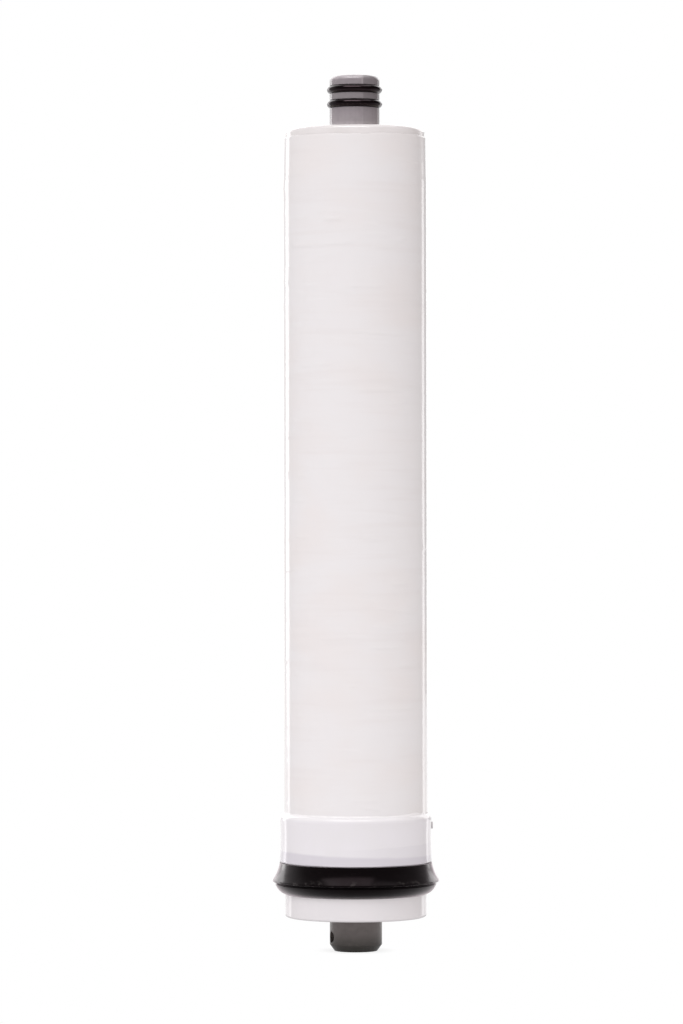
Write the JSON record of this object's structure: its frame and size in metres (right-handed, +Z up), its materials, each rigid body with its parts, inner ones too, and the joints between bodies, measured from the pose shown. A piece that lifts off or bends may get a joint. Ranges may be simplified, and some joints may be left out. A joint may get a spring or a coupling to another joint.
{
  "type": "reverse osmosis membrane element",
  "caption": "Slim spiral-wound water filter cartridge: tape-wrapped white roll on a grey tube with O-ring stem, moulded end cap with black lip seal, and tail stem.",
  "frame": {"origin": "middle of the flat end face of the tail stem, on the tube's axis", "axes": "+Z up the permeate tube towards the product end with the two O-rings; +X along the pull hole across the tail stem"},
  "size_m": [0.0566, 0.0566, 0.298],
  "materials": {
    "tube_plastic": "light grey moulded plastic, satin gloss",
    "plug_plastic": "mid grey moulded plastic, satin",
    "o_ring_rubber": "black rubber, lightly greased",
    "membrane": "off-white polymer membrane on felt backing",
    "spacer_net": "translucent white diamond net, seen edge on",
    "wrap_film": "white film, glossy",
    "wrap_tape": "white adhesive tape wound on, glossy with faint edges and wrinkles",
    "cap_plastic": "slightly translucent cool white moulded plastic",
    "seal_rubber": "black moulded rubber, slightly dusty"
  },
  "bodies": {
    "root": {"permeate_tube": "tube_plastic", "tail_plug": "plug_plastic", "o_ring_outer": "o_ring_rubber", "o_ring_inner": "o_ring_rubber", "membrane_leaf": "membrane", "feed_spacer": "spacer_net", "film_sleeve": "wrap_film", "outer_tape": "wrap_tape", "end_cap": "cap_plastic", "brine_seal": "seal_rubber"}
  },
  "joints": []
}
